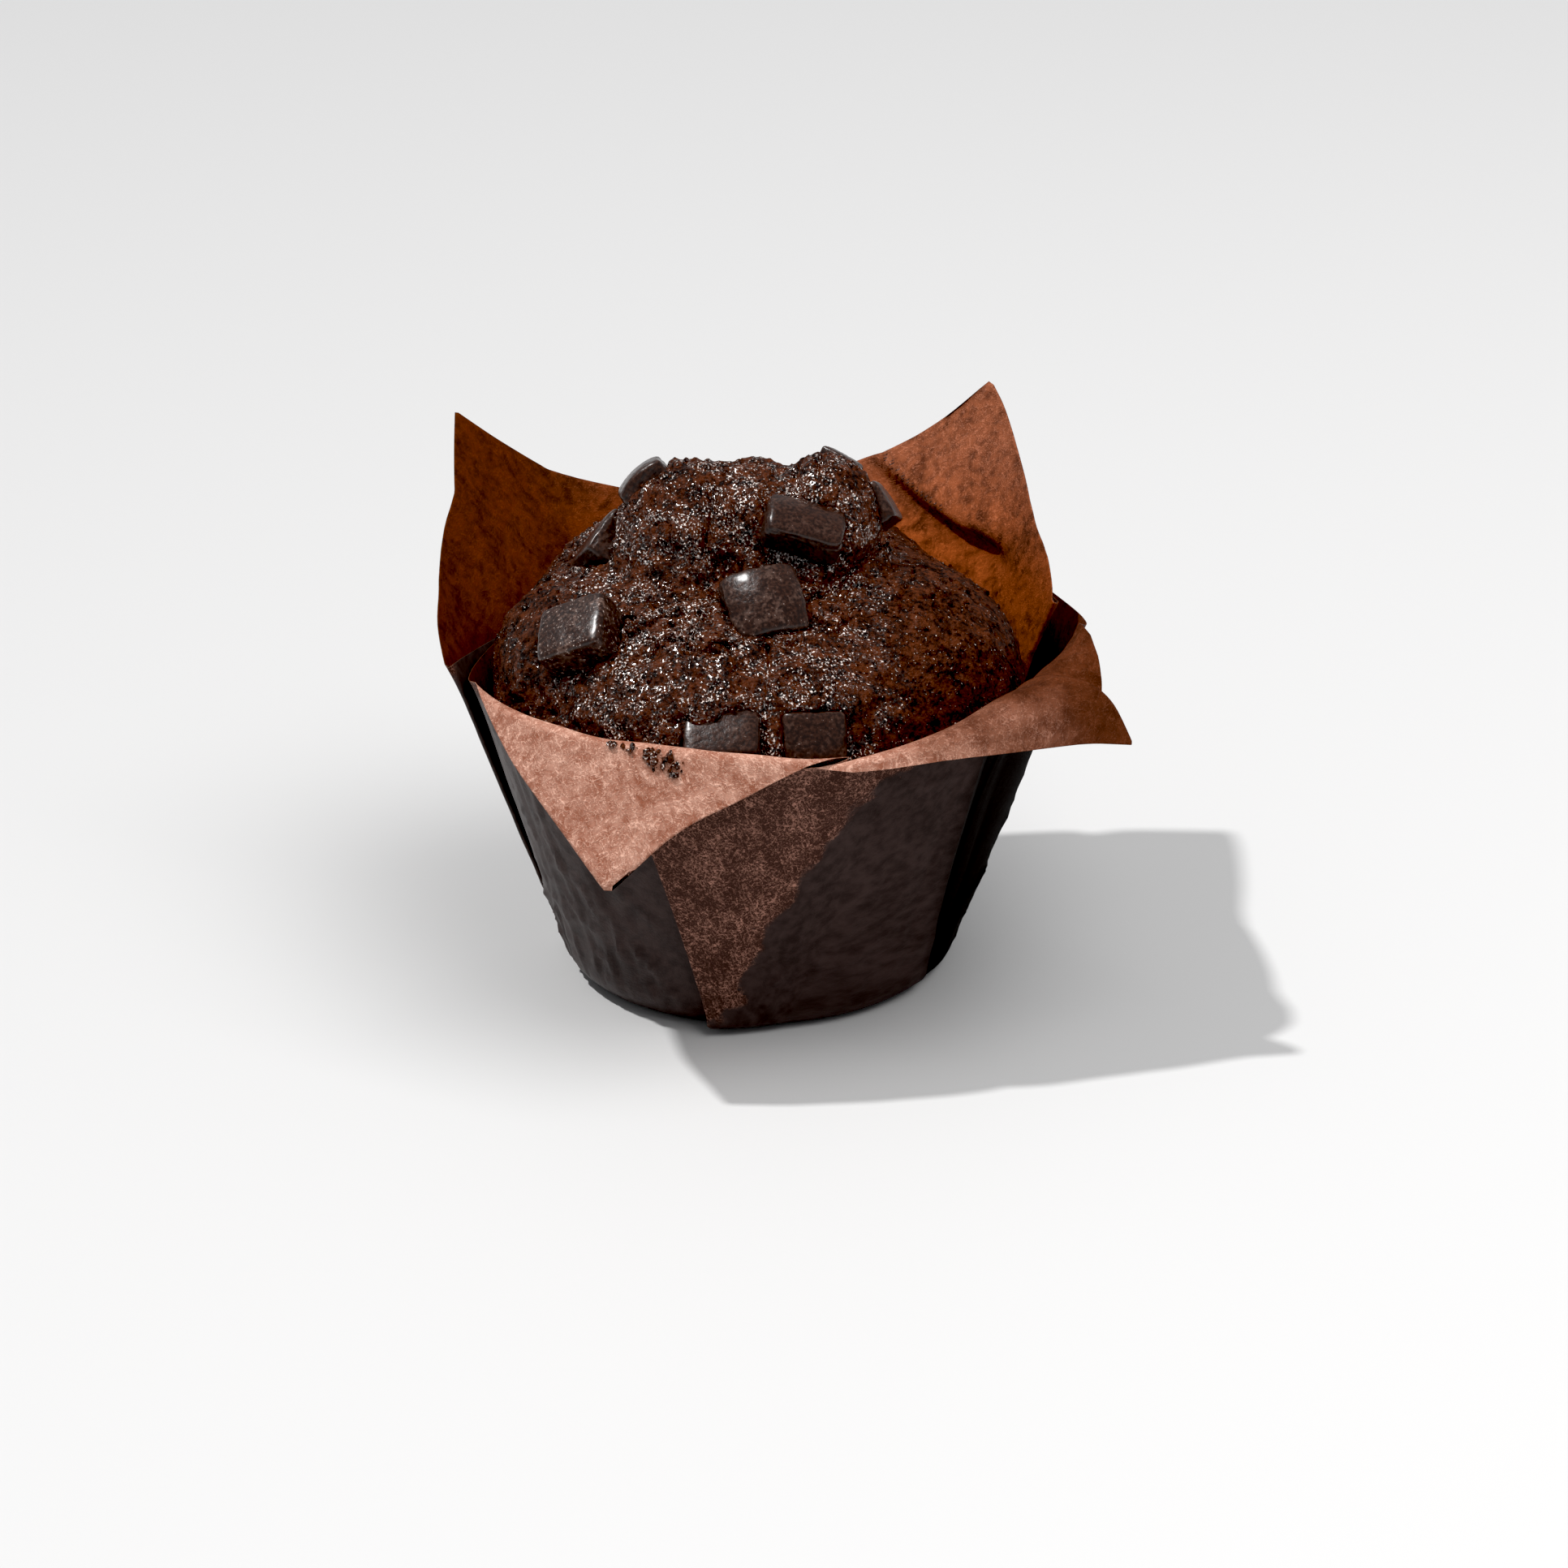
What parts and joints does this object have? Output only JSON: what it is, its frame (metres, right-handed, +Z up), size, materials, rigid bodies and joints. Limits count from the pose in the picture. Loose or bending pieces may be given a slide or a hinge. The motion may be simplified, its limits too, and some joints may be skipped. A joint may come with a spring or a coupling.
{
  "type": "chocolate muffin in a paper cup",
  "caption": "Domed dark chocolate muffin with a cracked crown and chocolate chunks, baked in a square sheet of brown paper folded into a tulip cup with four pointed petals.",
  "frame": {"origin": "middle of the flat base of the paper cup, on the surface it stands on", "axes": "+Z up through the crown of the muffin; -Y towards the front of the picture, +X to its right"},
  "size_m": [0.0989, 0.1013, 0.0775],
  "materials": {
    "wrap_paper": "fibrous brown baking paper, grease-darkened where it touched the cake",
    "cake_crumb": null,
    "dark_chocolate": null
  },
  "bodies": {
    "root": {"paper_wrap": "wrap_paper", "muffin_cake": "cake_crumb", "chocolate_chunk_01": "dark_chocolate", "chocolate_chunk_02": "dark_chocolate", "chocolate_chunk_03": "dark_chocolate", "chocolate_chunk_04": "dark_chocolate", "chocolate_chunk_05": "dark_chocolate", "chocolate_chunk_06": "dark_chocolate", "chocolate_chunk_07": "dark_chocolate", "chocolate_chunk_08": "dark_chocolate", "chocolate_chunk_09": "dark_chocolate", "chocolate_chunk_10": "dark_chocolate", "chocolate_chunk_11": "dark_chocolate", "chocolate_chunk_12": "dark_chocolate"}
  },
  "joints": []
}
